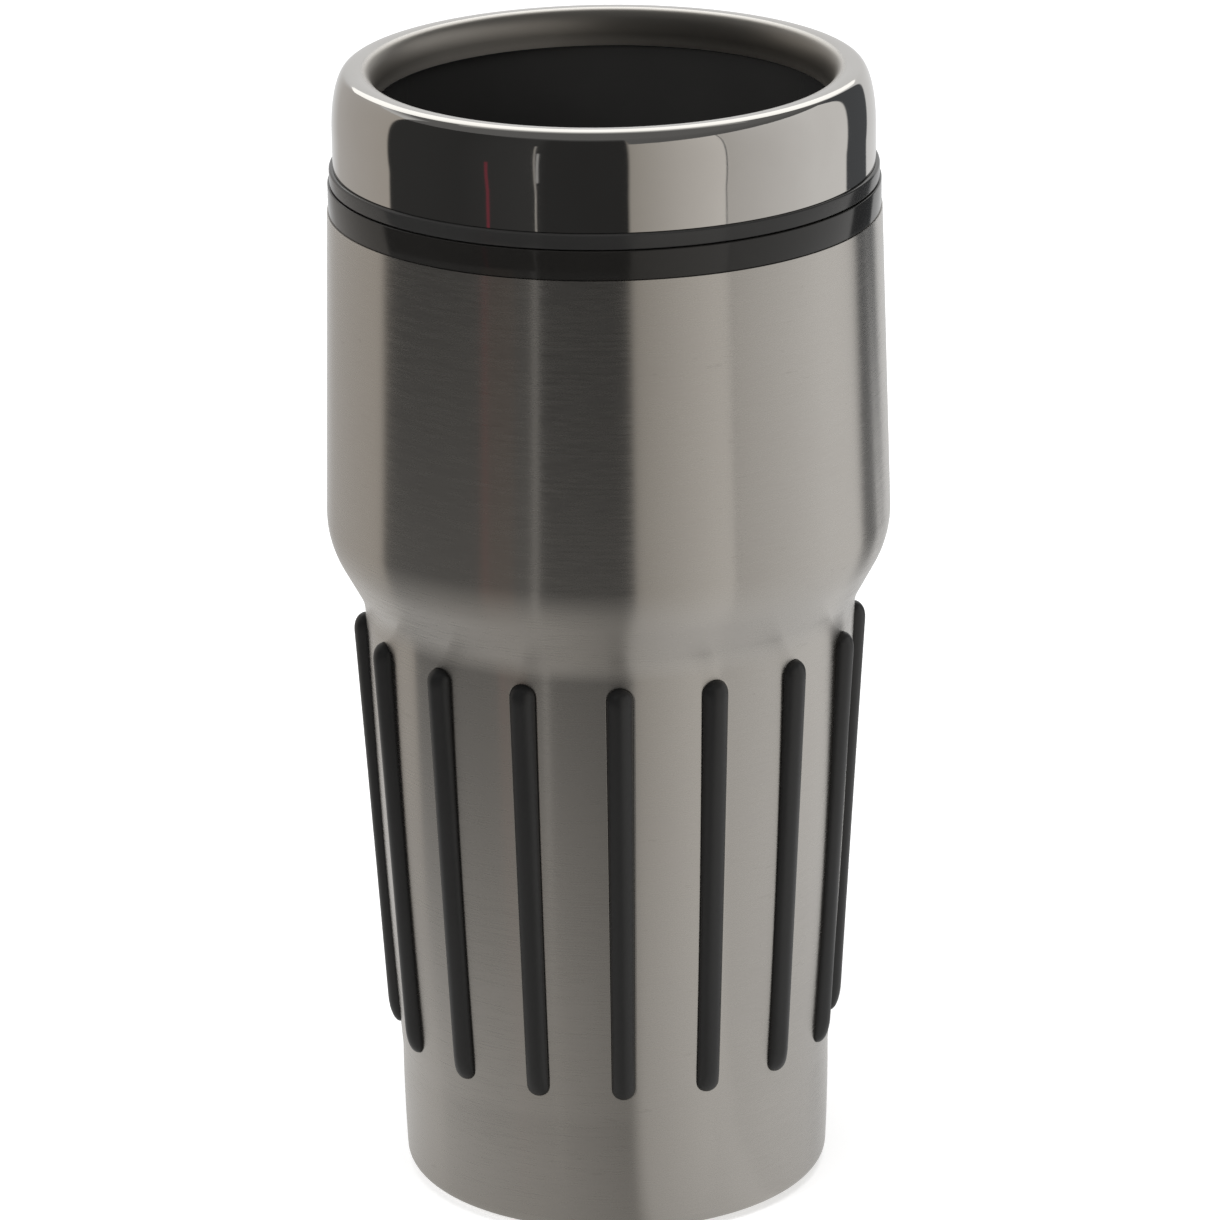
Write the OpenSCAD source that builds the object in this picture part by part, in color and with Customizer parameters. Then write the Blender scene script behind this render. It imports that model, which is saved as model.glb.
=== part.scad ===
// Insulated travel mug. A slotted steel shell stands over a ribbed rubber grip sleeve,
// foam and a steel inner vessel; a plastic collar closes the mouth, and a push-in lid
// with a polished trim ring carries a sliding drink closure.
// Millimetres, +Z up. Origin: centre of the base, on the surface the mug stands on.

/* [Foot] */
// Diameter of the straight foot, which drops into a cup holder
foot_d = 66.7; // [62:0.1:70]
// Height of the straight foot above the lower edge of the shell
foot_h = 19; // [14:0.5:24]
// Radius of the rounded lower edge of the shell
foot_edge_r = 2.5; // [1:0.1:3.5]
// Width of the flat flange that turns in under the shell
foot_flange_w = 2.4; // [1.5:0.1:4]
// How far the rubber pad stands below the shell
pad_drop = 0.5; // [0.2:0.1:1.5]

/* [Shell] */
// Thickness of the shell's steel
shell_wall = 0.6; // [0.4:0.1:0.9]
// Height of the tapering grip zone
grip_h = 72.2; // [60:0.5:85]
// Diameter at the waist, where the grip zone ends
waist_d = 75.1; // [73:0.1:77]
// Diameter just above the shoulder, the widest place
body_d = 86; // [84:0.1:90]
// Diameter at the mouth of the shell
mouth_d = 83.5; // [82:0.1:86]
// Height of the upper body, from the shoulder to the mouth
body_h = 47.2; // [40:0.5:60]
// Slope of the shoulder, in degrees from upright
shoulder_tilt = 28.5; // [22:0.5:36]
// Radius of the hollow bend under the shoulder
low_bend_r = 6; // [3:0.5:8]
// Radius of the full bend over the shoulder
high_bend_r = 17; // [10:0.5:20]

/* [Grip] */
// Number of slots, and of rubber ribs
rib_count = 16; // [10:1:20]
// Width of a slot near its lower end
slot_low_w = 3.5; // [2.8:0.1:4.2]
// Width of a slot near its upper end
slot_high_w = 4.0; // [3:0.1:4.6]
// Distance from the start of the taper to the lower end of a slot
slot_low_margin = 3.6; // [2:0.1:8]
// Distance from the upper end of a slot to the waist
slot_high_margin = 1.2; // [0.8:0.1:6]
// Gap between a rib and the edge of its slot
rib_gap = 0.15; // [0.08:0.01:0.3]
// Depth of a rib's axis below the shell's surface
rib_axis_depth = 0.25; // [0:0.05:0.6]
// Thickness of the sleeve behind the slots
sleeve_wall = 1.2; // [0.8:0.1:1.6]
// Gap between the shell and the sleeve
sleeve_gap = 0.15; // [0.05:0.01:0.3]
// How far the sleeve reaches above the waist
sleeve_over = 4; // [2:0.5:6]
// How far the sleeve starts above the straight foot
sleeve_under = 0.5; // [0.2:0.1:1.5]

/* [Vessel] */
// Thickness of the inner vessel's steel
liner_wall = 0.5; // [0.3:0.1:0.8]
// Radius of the bend round the bottom of the vessel
liner_bend_r = 8; // [5:0.5:12]
// Thickness of the foam between the vessel and the sleeve
foam_wall = 2.2; // [1.2:0.1:2.4]
// Gap on each side of the foam
foam_gap = 0.15; // [0.05:0.01:0.25]
// How far the vessel's shoulder starts above the top of the sleeve
liner_rise = 2; // [1:0.5:6]
// How far the vessel's straight neck reaches below the collar's skirt
neck_drop = 1; // [0.5:0.5:4]
// Height of the puck that the vessel stands on
puck_h = 4; // [2:0.5:8]
// Outer radius of the puck
puck_r = 19; // [12:0.5:19.5]
// Radius of the hole in the puck
puck_hole_r = 8; // [4:0.5:11]

/* [Base] */
// Thickness of the pressed base
base_wall = 0.6; // [0.4:0.1:1]
// Height of the base's upturned rim
base_rim_h = 4; // [2:0.5:7]
// Gap between the base and the shell around it
base_fit = 0.05; // [0.02:0.01:0.1]
// Gap round the edge of the rubber pad
pad_gap = 0.2; // [0.1:0.05:0.4]
// Depth of the grooves in the pad
pad_groove = 0.4; // [0.2:0.05:0.5]
// Number of round grooves in the pad
pad_grooves = 5; // [2:1:7]

/* [Collar] */
// Height of the collar's band that shows above the shell
collar_h = 4.3; // [3:0.1:6]
// Thickness of the collar's skirt inside the shell
collar_wall = 2.3; // [2.2:0.1:2.6]
// Length of the skirt inside the shell
collar_skirt_h = 10; // [7:0.5:14]
// Gap between the collar and the steel on both of its sides
collar_fit = 0.1; // [0.04:0.01:0.15]
// Bevel round the collar's upper edge, at the parting line
seam_bevel = 0.15; // [0.1:0.05:0.6]
// Radius of the collar's band short of the shell's mouth
collar_inset = 0.15; // [0:0.05:0.3]
// Bevel round the lower end of the skirt
collar_lead = 0.5; // [0.2:0.1:1]
// Width of the flange at the top of the vessel
liner_flange_w = 1.5; // [0.8:0.1:1.8]
// Depth of that flange below the top of the collar
liner_flange_drop = 0.4; // [0.2:0.1:1]
// Thickness of the round seal between vessel and collar
oring_d = 1.5; // [1:0.1:1.7]
// Height of that seal above the lower end of the skirt
oring_z = 5; // [3:0.5:8]

/* [Lid] */
// Parting gap between collar and lid
parting_gap = 0.3; // [0.2:0.05:0.6]
// Height of the lid's flange, the upper band
flange_h = 2.25; // [1.6:0.05:3.5]
// Radius of the flange short of the shell's mouth
flange_inset = 0.4; // [0.2:0.05:0.8]
// Bevel round both edges of the flange
flange_bevel = 0.4; // [0.1:0.05:0.6]
// Length of the lid's skirt below its flange
skirt_h = 14; // [13:0.5:20]
// Thickness of the skirt
skirt_wall = 2.6; // [2.4:0.1:3.4]
// Bevel round the skirt's lower edge, which leads the lid into the vessel
skirt_lead = 0.8; // [0.3:0.1:1.2]
// Gap between the skirt and the inside of the vessel
plug_gap = 1.65; // [1.2:0.05:2]
// Depth of the drinking well below the rim
well_d = 20.3; // [17:0.1:21]
// Thickness of the lid's floor
floor_wall = 2; // [1.5:0.1:2.6]
// Radius of the bend between floor and wall
well_bend_r = 2; // [1:0.5:3]
// Draft of the well's wall, the difference between its top and bottom radius
well_draft = 0.8; // [0.3:0.1:1]
// Height of the groove for the lid's gasket
gasket_h = 6; // [5:0.1:7]
// Depth of that groove
gasket_depth = 1.3; // [0.8:0.1:1.5]
// Distance from the flange down to the groove
gasket_drop = 4.4; // [3:0.1:6]
// Number of wiping fins on the gasket
fin_count = 3; // [2:1:4]
// Gap between the fins and the inside of the vessel
fin_gap = 0.1; // [0.05:0.01:0.2]

/* [Trim ring] */
// Thickness of the ring's polished steel
trim_wall = 0.6; // [0.4:0.1:0.8]
// Height of the ring above the lid's flange
trim_h = 14.6; // [12:0.1:18]
// Radius of the ring's wall short of the flange
trim_inset = 0.6; // [0.3:0.05:1.2]
// Width of the ring's upper shoulder
trim_shoulder_w = 2.4; // [1.5:0.1:3]
// Height of that shoulder
trim_shoulder_h = 8.7; // [5:0.1:10]
// Width of the crest between the shoulder and the inner lip
crest_w = 2.5; // [1.5:0.1:3.5]
// Height of the crest's crown
crest_crown = 0.1; // [0:0.02:0.25]
// Width of the inner lip
lip_w = 1.75; // [1.2:0.05:2.2]
// Height of the inner lip's curve
lip_h = 4.3; // [3:0.1:5]
// Depth of the ring's inner edge below the rim
trim_reach = 5.5; // [5.1:0.1:7]
// Gap between the ring and the lid's plastic
trim_gap = 0.1; // [0.04:0.01:0.2]

/* [Closure] */
// How far the closure slides
travel = 12; // [9:0.5:13]
// Width of the sliding gate
gate_w = 19; // [17:0.5:21]
// Thickness of the gate
gate_wall = 1.8; // [1.6:0.1:2.4]
// Gap under the gate
gate_lift = 0.15; // [0.1:0.01:0.2]
// Gap between the gate and its rails
rail_gap = 0.15; // [0.08:0.01:0.3]
// Thickness of a rail's wall and of its lip
rail_wall = 1.6; // [1.2:0.1:2]
// How far a rail's lip reaches over the gate
rail_lip = 1; // [0.6:0.1:1.4]
// Width of the drink hole, across the lid
drink_w = 13; // [10:0.5:14]
// Length of the drink hole, towards the rim
drink_l = 6.5; // [5:0.25:7]
// Distance from the well's wall in to the middle of the drink hole
drink_inset = 9.4; // [8.5:0.1:10.5]
// How far the seal reaches round the drink hole
seal_margin = 1.5; // [1:0.1:1.8]
// Thickness of the seal
seal_t = 0.9; // [0.7:0.1:1.1]
// Gap between the seal and the floor
seal_gap = 0.04; // [0.02:0.01:0.08]
// How far the gate reaches past the drink hole
gate_margin = 2.75; // [2.2:0.05:3]
// Radius of the stem that joins the gate to its keeper
stem_r = 2.4; // [2:0.1:3]
// Gap between the stem and the sides of its slot
stem_gap = 0.1; // [0.05:0.01:0.2]
// Height of the post that carries the knob
post_h = 3; // [2.4:0.1:4]
// Width of the knob
knob_w = 15; // [12:0.5:16]
// Length of the knob, the way it slides
knob_l = 17; // [13:0.5:19]
// Height of the knob
knob_h = 5; // [4.4:0.1:6]
// Radius of the knob's corners
knob_corner_r = 3; // [1.5:0.5:5]
// Bevel round the knob's top
knob_bevel = 0.8; // [0.3:0.1:1.4]
// Number of finger ridges on the knob
ridge_count = 5; // [3:1:6]
// Radius of a finger ridge
ridge_r = 0.6; // [0.4:0.05:0.8]
// Gap between the floor and the keeper under it
keeper_gap = 0.15; // [0.1:0.01:0.3]
// Thickness of the keeper
keeper_wall = 1.2; // [1:0.1:1.6]
// Width of the keeper
keeper_w = 13; // [10:0.5:18]
// Length of the keeper
keeper_l = 22; // [16:0.5:26]
// Radius of the screw's thread
screw_r = 1.45; // [1.2:0.05:1.6]
// Length of the screw under its head
screw_l = 6.5; // [5:0.1:6.8]
// Radius of the screw's head
screw_head_r = 2.8; // [2.2:0.1:3.5]
// Radius of the vent hole
vent_r = 1.2; // [0.8:0.1:1.6]

/* [Hidden] */
$fn = 96;
bend_steps = 8;

// Radii of the shell
foot_r = foot_d / 2;
waist_r = waist_d / 2;
body_r = body_d / 2;
mouth_r = mouth_d / 2;
grip_tilt = atan((waist_r - foot_r) / grip_h);
body_tilt = -atan((body_r - mouth_r) / body_h);
flange_in_r = foot_r - foot_edge_r - foot_flange_w;

// Heights, from the ground up
z_edge = pad_drop;
z_foot = z_edge + foot_h;
z_waist = z_foot + grip_h;
shoulder = s_line(waist_r, z_waist, body_r, grip_tilt, shoulder_tilt, body_tilt);
z_body = shoulder[len(shoulder) - 1][1];
z_mouth = z_body + body_h;
z_collar = z_mouth + collar_h;
z_flange = z_collar + parting_gap;
z_trim = z_flange + flange_h;
z_top = z_trim + trim_h;

// Base and vessel
z_base = z_edge + shell_wall;
z_puck = z_base + base_wall;
z_liner = z_puck + puck_h;
foam_space = foam_wall + 2 * foam_gap;
body_inset = shell_wall + foam_space;
liner_inset = body_inset + sleeve_gap + sleeve_wall;
z_liner_waist = z_waist + sleeve_over + liner_rise;
z_liner_body = z_body + z_liner_waist - z_waist;
z_skirt = z_mouth - collar_skirt_h;
z_neck = z_skirt - neck_drop;
collar_out_r = min(mouth_r, upper_r(z_skirt)) - shell_wall - collar_fit;
collar_in_r = collar_out_r - collar_wall;
band_r = mouth_r - collar_inset;
neck_r = collar_in_r - collar_fit;
neck_in_r = neck_r - liner_wall;
liner_body_r = min(neck_r, upper_r(z_liner_body) - body_inset);
z_liner_flange = z_collar - liner_flange_drop - liner_wall;
z_oring = z_skirt + oring_z;

// Lid
flange_r = mouth_r - flange_inset;
plug_r = neck_in_r - plug_gap;
skirt_in_r = plug_r - skirt_wall;
z_floor = z_top - well_d;
z_under = z_floor - floor_wall;
z_plug = z_flange - skirt_h;
z_gasket = z_flange - gasket_drop - gasket_h;
groove_r = plug_r - gasket_depth;
fin_tip_r = neck_in_r - fin_gap;
trim_r = flange_r - trim_inset;
crest_r = trim_r - trim_shoulder_w;
lip_r = crest_r - crest_w;
trim_in_r = lip_r - lip_w;
well_top_r = trim_in_r + trim_wall - trim_gap;
well_low_r = well_top_r - well_draft;
z_trim_edge = z_top - trim_reach;
z_carrier = z_top - trim_shoulder_h - trim_gap;

// Closure; the closed place is the rest place
drink_y = well_low_r - drink_inset;
gate_front = drink_y + drink_l / 2 + gate_margin;
gate_back = travel + stem_r + stem_gap + gate_margin / 2;
z_gate = z_floor + gate_lift;
z_knob = z_gate + gate_wall;
z_stem = z_under - keeper_gap;
pilot_r = screw_r + 0.05;
rail_in = gate_w / 2 + rail_gap;

// Point on a bend: r out and z up from a start, turning from tilt a to tilt t
function bend(r, a, t) = [r * (cos(a) - cos(t)), r * (sin(t) - sin(a))];

// S-shaped wall line from (r0, z0) out to radius r1: a hollow bend, a straight slope and
// a full bend, tangent to walls that lean by tilt a below and tilt c above. The bends
// shrink together where the step is too small for them.
function s_line(r0, z0, r1, a, b, c) =
    let (low = cos(a) - cos(b),
         high = cos(c) - cos(b),
         step = r1 - r0,
         fit = min(1, step / (low_bend_r * low + high_bend_r * high)),
         r_low = low_bend_r * fit,
         r_high = high_bend_r * fit,
         slope = (step - r_low * low - r_high * high) / sin(b),
         p = [r0, z0] + bend(r_low, a, b),
         q = p + slope * [sin(b), cos(b)])
    concat([for (i = [0 : bend_steps]) [r0, z0] + bend(r_low, a, a + (b - a) * i / bend_steps)],
           [for (i = [0 : bend_steps]) q - bend(r_high, b, b + (c - b) * i / bend_steps)]);

// Points of an ellipse's arc about (r, z), from angle a to angle b
function arc(r, z, rx, rz, a, b) =
    [for (i = [0 : bend_steps])
        let (t = a + (b - a) * i / bend_steps) [r + rx * cos(t), z + rz * sin(t)]];

function reversed(line) = [for (i = [len(line) - 1 : -1 : 0]) line[i]];
function moved_out(line, d) = [for (p = line) [p[0] + d, p[1]]];

// Radius of the grip zone's cone, and of the upper body, at height z
function grip_r(z) = foot_r + (z - z_foot) * tan(grip_tilt);
function upper_r(z) = body_r + (z - z_body) * tan(body_tilt);

// The shell's wall line, t deep in the steel
function shell_line(t) =
    concat([[flange_in_r, z_edge + t]],
           arc(foot_r - foot_edge_r, z_edge + foot_edge_r, foot_edge_r - t, foot_edge_r - t, -90, 0),
           [[foot_r - t, z_foot]],
           moved_out(shoulder, -t),
           [[mouth_r - t, z_mouth]]);

// The vessel's side line, from the top of its bottom bend to the neck, t deep in the steel
function liner_side(t) =
    let (z = z_liner + liner_bend_r * (1 - sin(grip_tilt)))
    concat([[grip_r(z) - liner_inset - t, z]],
           moved_out(s_line(grip_r(z_liner_waist) - liner_inset, z_liner_waist, liner_body_r,
                            grip_tilt, shoulder_tilt, 0), -t),
           [[neck_r - t, z_neck]]);

// The vessel's whole line from the axis to the flange, t deep in the steel
function liner_line(t) =
    let (side = liner_side(0),
         r = side[0][0] - liner_bend_r * cos(grip_tilt),
         z = z_liner + liner_bend_r)
    concat([[0, z_liner + t]],
           arc(r, z, liner_bend_r - t, liner_bend_r - t, -90, -grip_tilt),
           [for (i = [1 : len(side) - 1]) side[i] - [t, 0]]);

// The trim ring's line, t deep in the steel
function trim_line(t) =
    concat([[trim_r - t, z_trim + trim_gap]],
           arc(crest_r, z_top - trim_shoulder_h - crest_crown,
               trim_shoulder_w - t, trim_shoulder_h - t, 0, 90),
           [[crest_r - crest_w / 2, z_top - t]],
           arc(lip_r, z_top - lip_h - crest_crown, lip_w - t, lip_h - t, 90, 180),
           [[trim_in_r + t, z_trim_edge]]);

// A ring or disc between two lines
module band(inner, outer) {
    rotate_extrude() polygon(concat(inner, reversed(outer)));
}

// A plain ring
module ring(r_in, r_out, z0, z1) {
    rotate_extrude() polygon([[r_in, z0], [r_out, z0], [r_out, z1], [r_in, z1]]);
}

// A slot's outline from low point z0 to high point z1, with round ends
module slot_outline(low_r, high_r, z0, z1) {
    polygon(concat(arc(0, z0 + low_r, low_r, low_r, -180, 0),
                   arc(0, z1 - high_r, high_r, high_r, 0, 180)));
}

// A plate with round ends, w wide, from y0 to y1
module round_ended(w, y0, y1) {
    translate([0, y0 + w / 2]) circle(d = w);
    translate([0, y1 - w / 2]) circle(d = w);
    translate([-w / 2, y0 + w / 2]) square([w, y1 - y0 - w]);
}

// A rectangle with round corners, centred
module round_cornered(w, l, r) {
    square([w - 2 * r, l], center = true);
    square([w, l - 2 * r], center = true);
    for (x = [-1, 1], y = [-1, 1])
        translate([x * (w / 2 - r), y * (l / 2 - r)]) circle(r);
}

// Frame on the grip zone at an angle: X out of the wall, Z up along it from the taper's start
module on_grip(angle) {
    rotate([0, 0, angle]) translate([foot_r, 0, z_foot]) rotate([0, grip_tilt, 0]) children();
}

// Ends of a slot along the grip zone
slot_z0 = slot_low_margin;
slot_z1 = grip_h / cos(grip_tilt) - slot_high_margin;

// A slot's prism, shrunk by d all round, from x0 to x1 across the wall
module slot_prism(d, x0, x1) {
    translate([x0, 0, 0]) rotate([90, 0, 90]) linear_extrude(x1 - x0)
        slot_outline(slot_low_w / 2 - d, slot_high_w / 2 - d, slot_z0 + d, slot_z1 - d);
}

// A rib: a half-round bar that fills its slot, on a narrower root that joins the sleeve
module rib() {
    root_d = rib_gap + 0.1;
    low_r = slot_low_w / 2 - rib_gap;
    high_r = slot_high_w / 2 - rib_gap;
    slot_prism(root_d, -shell_wall - sleeve_gap - sleeve_wall / 2, 0.3 - rib_axis_depth);
    translate([-rib_axis_depth, 0, 0]) rotate([0, 0, -90])
        rotate_extrude(angle = 180, $fn = 48)
            polygon(concat(arc(0, slot_z0 + rib_gap + low_r, low_r, low_r, -90, 0),
                           arc(0, slot_z1 - rib_gap - high_r, high_r, high_r, 0, 90)));
}

module outer_shell() {
    color("silver") difference() {
        band(shell_line(shell_wall), shell_line(0));
        for (i = [0 : rib_count - 1])
            on_grip(i * 360 / rib_count - 90) slot_prism(0, -3 * shell_wall, 3 * shell_wall);
    }
}

module grip_sleeve() {
    z0 = z_foot + sleeve_under;
    z1 = z_waist + sleeve_over;
    out = shell_wall + sleeve_gap;
    line = [[grip_r(z0) - out, z0], [grip_r(z1) - out, z1]];
    color("black") {
        band(moved_out(line, -sleeve_wall), line);
        for (i = [0 : rib_count - 1]) on_grip(i * 360 / rib_count - 90) rib();
    }
}

module base_cap() {
    r = foot_r - shell_wall - base_fit;
    bend_r = max(foot_edge_r - shell_wall, base_wall) + 0.2;
    line = concat(arc(r - bend_r, z_base + bend_r, bend_r, bend_r, -90, 0), [[r, z_base + base_rim_h]]);
    inner = concat([[0, z_puck]],
                   arc(r - bend_r, z_base + bend_r, bend_r - base_wall, bend_r - base_wall, -90, 0),
                   [[r - base_wall, z_base + base_rim_h]]);
    color("silver") band(inner, concat([[0, z_base]], line));
}

module base_pad() {
    r = flange_in_r - pad_gap;
    pitch = r / (pad_grooves + 1);
    color("dimgray") difference() {
        cylinder(r = r, h = z_base);
        for (i = [1 : pad_grooves]) translate([0, 0, -1])
            ring(i * pitch - pitch / 6, i * pitch + pitch / 6, 0, 1 + pad_groove);
    }
}

module liner() {
    flange_out = neck_r + liner_flange_w;
    outer = concat(liner_line(0), [[neck_r, z_liner_flange], [flange_out, z_liner_flange]]);
    inner = concat(liner_line(liner_wall),
                   [[neck_in_r, z_liner_flange + liner_wall], [flange_out, z_liner_flange + liner_wall]]);
    color("lightgray") band(inner, outer);
}

module liner_puck() {
    color("white") ring(puck_hole_r, puck_r, z_puck, z_liner);
}

module insulation() {
    line = concat(liner_side(0), [[neck_r, z_skirt - 2 * foam_gap]]);
    color("ivory") band(moved_out(line, foam_gap), moved_out(line, foam_gap + foam_wall));
}

module collar() {
    seat_r = neck_r + liner_flange_w + collar_fit;
    groove_out = neck_r + oring_d + 0.1;
    groove_half = oring_d / 2 + 0.15;
    color("black") rotate_extrude() polygon([
        [collar_in_r, z_skirt], [collar_out_r - collar_lead, z_skirt],
        [collar_out_r, z_skirt + collar_lead], [collar_out_r, z_mouth], [band_r, z_mouth],
        [band_r, z_collar - seam_bevel], [band_r - seam_bevel, z_collar],
        [seat_r, z_collar], [seat_r, z_liner_flange], [collar_in_r, z_liner_flange],
        [collar_in_r, z_oring + groove_half], [groove_out, z_oring + groove_half],
        [groove_out, z_oring - groove_half], [collar_in_r, z_oring - groove_half]]);
}

module collar_seal() {
    color("dimgray") rotate_extrude()
        translate([neck_r + oring_d / 2 + 0.03, z_oring]) circle(d = oring_d, $fn = 32);
}

// Rails on the lid's floor that guide the gate and hold it down
module rails() {
    h = gate_lift + gate_wall + rail_gap + rail_wall;
    y0 = -drink_y + drink_l;
    y1 = gate_back;
    for (side = [-1, 1]) translate([0, y1, z_floor]) rotate([90, 0, 0]) linear_extrude(y1 - y0)
        polygon([for (p = [[rail_in, -0.5], [rail_in + rail_wall, -0.5], [rail_in + rail_wall, h],
                           [rail_in - rail_gap - rail_lip, h], [rail_in - rail_gap - rail_lip, h - rail_wall],
                           [rail_in, h - rail_wall]])
            [side * p[0], p[1]]]);
}

module lid_body() {
    wall_r = trim_in_r + trim_wall + trim_gap;
    carrier_r = trim_r - trim_wall - trim_gap;
    carrier_in = crest_r - trim_wall;
    wall_top = z_top - lip_h + trim_wall;
    color("black") difference() {
        union() {
            rotate_extrude() polygon(concat(
                [[0, z_under], [0, z_floor]],
                arc(well_low_r - well_bend_r, z_floor + well_bend_r, well_bend_r, well_bend_r, -90, 0),
                [[well_top_r, z_trim_edge - trim_gap], [wall_r, z_trim_edge - trim_gap], [wall_r, wall_top],
                 [lip_r, z_top - 2 * trim_wall - crest_crown], [plug_r, z_top - 2 * trim_wall - crest_crown],
                 [plug_r, z_trim], [carrier_in, z_trim], [carrier_in, z_carrier], [carrier_r, z_carrier],
                 [carrier_r, z_trim], [flange_r - flange_bevel, z_trim], [flange_r, z_trim - flange_bevel],
                 [flange_r, z_flange + flange_bevel], [flange_r - flange_bevel, z_flange], [plug_r, z_flange],
                 [plug_r, z_gasket + gasket_h], [groove_r, z_gasket + gasket_h],
                 [groove_r, z_gasket], [plug_r, z_gasket], [plug_r, z_plug + skirt_lead],
                 [plug_r - skirt_lead, z_plug], [skirt_in_r, z_plug], [skirt_in_r, z_under]]));
            rails();
        }
        translate([0, -drink_y, z_under - 1]) rotate([0, 0, 90]) linear_extrude(floor_wall + 2)
            round_ended(drink_l, -drink_w / 2, drink_w / 2);
        translate([0, 0, z_under - 1]) linear_extrude(floor_wall + 2)
            round_ended(2 * (stem_r + stem_gap), -stem_r - stem_gap, travel + stem_r + stem_gap);
        translate([0, well_low_r - well_bend_r - 2 * vent_r, z_under - 1])
            cylinder(r = vent_r, h = floor_wall + 2, $fn = 32);
    }
}

module trim_ring() {
    color("gainsboro") band(trim_line(trim_wall), trim_line(0));
}

module lid_gasket() {
    fit = 0.05;
    z0 = z_gasket + fit;
    h = gasket_h - 2 * fit;
    pitch = h / fin_count;
    core_r = plug_r + 0.3;
    color("lightgray") rotate_extrude() polygon(concat(
        [[groove_r + fit, z0]],
        [for (i = [0 : fin_count - 1]) each [
            [core_r, z0 + i * pitch], [core_r, z0 + (i + 0.2) * pitch],
            [fin_tip_r, z0 + (i + 0.45) * pitch], [fin_tip_r, z0 + (i + 0.6) * pitch],
            [core_r, z0 + (i + 0.8) * pitch]]],
        [[core_r, z0 + h], [groove_r + fit, z0 + h]]));
}

module slide_gate() {
    color("black") difference() {
        union() {
            translate([0, 0, z_gate]) linear_extrude(gate_wall) round_ended(gate_w, -gate_front, gate_back);
            translate([0, 0, z_stem]) cylinder(r = stem_r, h = z_knob + post_h - z_stem);
        }
        translate([0, 0, z_stem - 1]) cylinder(r = pilot_r, h = screw_l - keeper_wall + 1.5, $fn = 32);
        translate([0, -drink_y, z_gate - 1]) seal_plan(1 + seal_t + seal_gap - gate_lift, 0.05);
    }
}

// The seal's plan, grown by d
module seal_plan(h, d) {
    w = drink_w / 2 + seal_margin + d;
    rotate([0, 0, 90]) linear_extrude(h) round_ended(drink_l + 2 * seal_margin + 2 * d, -w, w);
}

module slide_seal() {
    color("lightgray") translate([0, -drink_y, z_floor + seal_gap]) seal_plan(seal_t, 0);
}

// Side view of the knob, w wide: its top and bevels, with the rest standing wide of it
module knob_side(w) {
    top = z_knob + knob_h;
    polygon([[-w / 2 - 1, z_knob - 1], [w / 2 + 1, z_knob - 1], [w / 2 + 1, top - knob_bevel - 1],
             [w / 2 - knob_bevel, top], [knob_bevel - w / 2, top], [-w / 2 - 1, top - knob_bevel - 1]]);
}

module slide_knob() {
    pitch = knob_l / (ridge_count + 1);
    color("dimgray") difference() {
        union() {
            intersection() {
                translate([0, 0, z_knob]) linear_extrude(knob_h + 1)
                    round_cornered(knob_w, knob_l, knob_corner_r);
                rotate([90, 0, 0]) linear_extrude(knob_l + 2, center = true) knob_side(knob_w);
                rotate([90, 0, 90]) linear_extrude(knob_w + 2, center = true) knob_side(knob_l);
            }
            for (i = [1 : ridge_count])
                translate([0, i * pitch - knob_l / 2, z_knob + knob_h]) rotate([0, 90, 0])
                    cylinder(r = ridge_r, h = knob_w - 2 * knob_corner_r, center = true, $fn = 24);
        }
        translate([0, 0, z_knob - 1]) cylinder(r = stem_r + 0.05, h = post_h + 1.1);
    }
}

module slide_keeper() {
    color("black") difference() {
        translate([0, 0, z_stem - keeper_wall]) linear_extrude(keeper_wall)
            round_cornered(keeper_w, keeper_l, 2);
        translate([0, 0, z_stem - keeper_wall - 1]) cylinder(r = screw_r + 0.2, h = keeper_wall + 2, $fn = 32);
    }
}

module slide_screw() {
    head_h = screw_head_r * 0.55;
    z = z_stem - keeper_wall;
    color("silver") difference() {
        union() {
            translate([0, 0, z - head_h]) cylinder(r = screw_head_r, h = head_h, $fn = 48);
            translate([0, 0, z - 0.1]) cylinder(r = screw_r, h = screw_l + 0.1, $fn = 32);
        }
        for (a = [0, 90]) rotate([0, 0, a]) translate([0, 0, z - head_h])
            cube([screw_head_r * 1.2, screw_head_r * 0.28, head_h], center = true);
    }
}

outer_shell();
grip_sleeve();
base_cap();
base_pad();
liner();
liner_puck();
insulation();
collar();
collar_seal();
lid_body();
trim_ring();
lid_gasket();
slide_gate();
slide_knob();
slide_seal();
slide_keeper();
slide_screw();
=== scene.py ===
from math import atan, cos, pi, radians, sin, tan

import bmesh
import bpy
import numpy as np
from mathutils import Matrix, Vector
from mathutils.geometry import delaunay_2d_cdt


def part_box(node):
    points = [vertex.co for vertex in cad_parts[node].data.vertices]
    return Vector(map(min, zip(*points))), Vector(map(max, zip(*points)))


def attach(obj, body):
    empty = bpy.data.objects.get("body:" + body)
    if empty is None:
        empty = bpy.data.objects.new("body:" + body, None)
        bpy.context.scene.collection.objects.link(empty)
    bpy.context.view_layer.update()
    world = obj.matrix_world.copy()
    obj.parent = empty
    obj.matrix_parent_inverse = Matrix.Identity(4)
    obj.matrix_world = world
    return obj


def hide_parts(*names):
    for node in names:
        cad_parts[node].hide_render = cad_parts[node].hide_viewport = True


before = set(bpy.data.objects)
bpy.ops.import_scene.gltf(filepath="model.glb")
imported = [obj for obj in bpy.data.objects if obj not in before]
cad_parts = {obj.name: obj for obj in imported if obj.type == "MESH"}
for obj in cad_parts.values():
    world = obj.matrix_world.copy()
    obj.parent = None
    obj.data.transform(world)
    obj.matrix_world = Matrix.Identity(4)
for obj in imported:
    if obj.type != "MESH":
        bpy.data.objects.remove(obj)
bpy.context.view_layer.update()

MM = 0.001
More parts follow.
